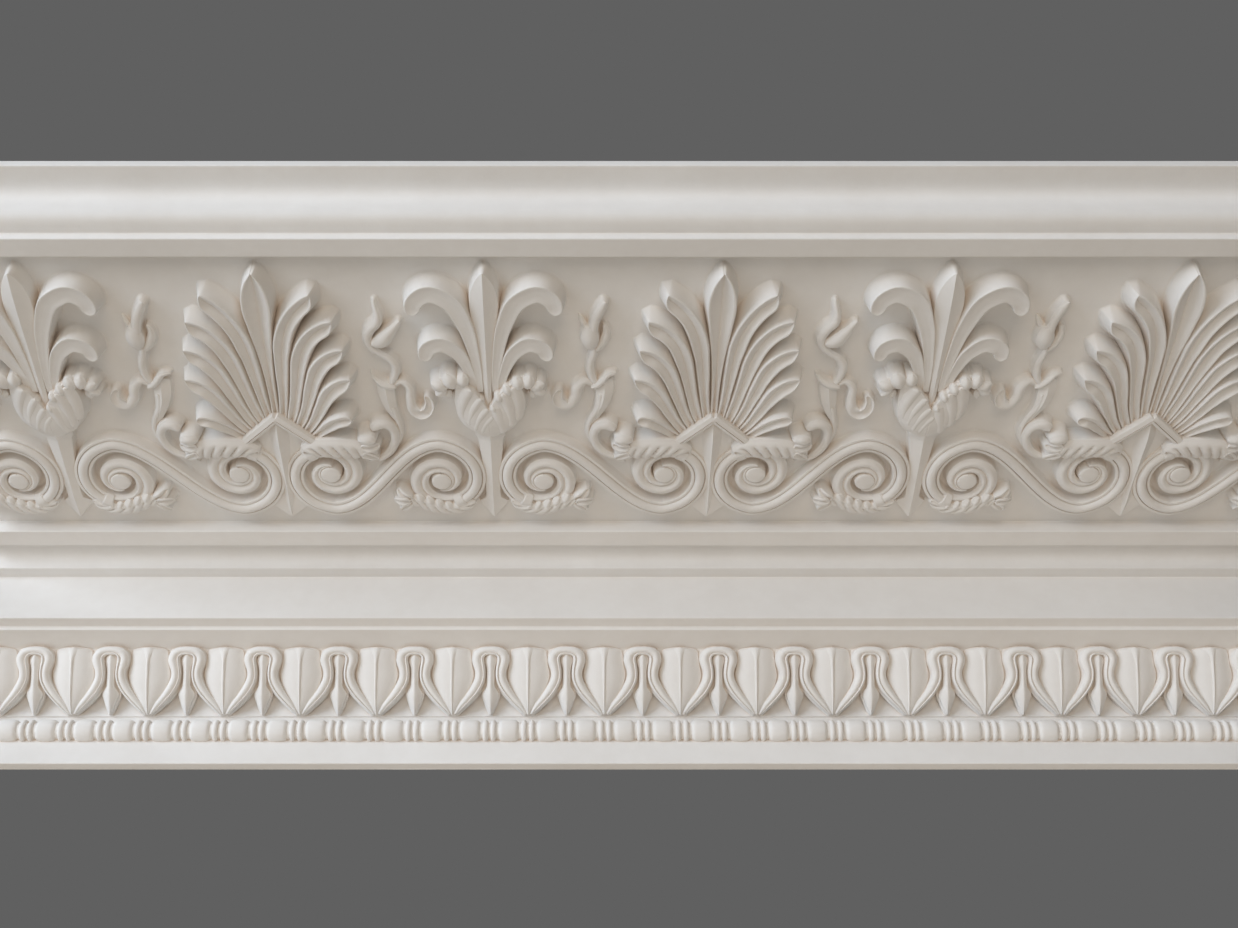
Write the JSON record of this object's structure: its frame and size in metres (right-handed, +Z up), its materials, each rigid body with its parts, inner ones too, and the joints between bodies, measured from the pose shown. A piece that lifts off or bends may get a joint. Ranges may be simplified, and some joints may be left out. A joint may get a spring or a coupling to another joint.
{
  "type": "plaster cornice",
  "caption": "Cast plaster cornice length with a palmette and bellflower frieze on its soffit, a plain fascia, a leaf-and-dart bed mould and a bead-and-reel.",
  "frame": {"origin": "middle of the flat bed that lies against the wall, half way along the length", "axes": "+X along the length, -Y out from the wall to the front, +Z up to the ceiling"},
  "size_m": [0.646, 0.2652, 0.1213],
  "materials": {
    "plaster": "matt white cast plaster"
  },
  "bodies": {
    "root": {"plaster_cornice": "plaster"}
  },
  "joints": []
}
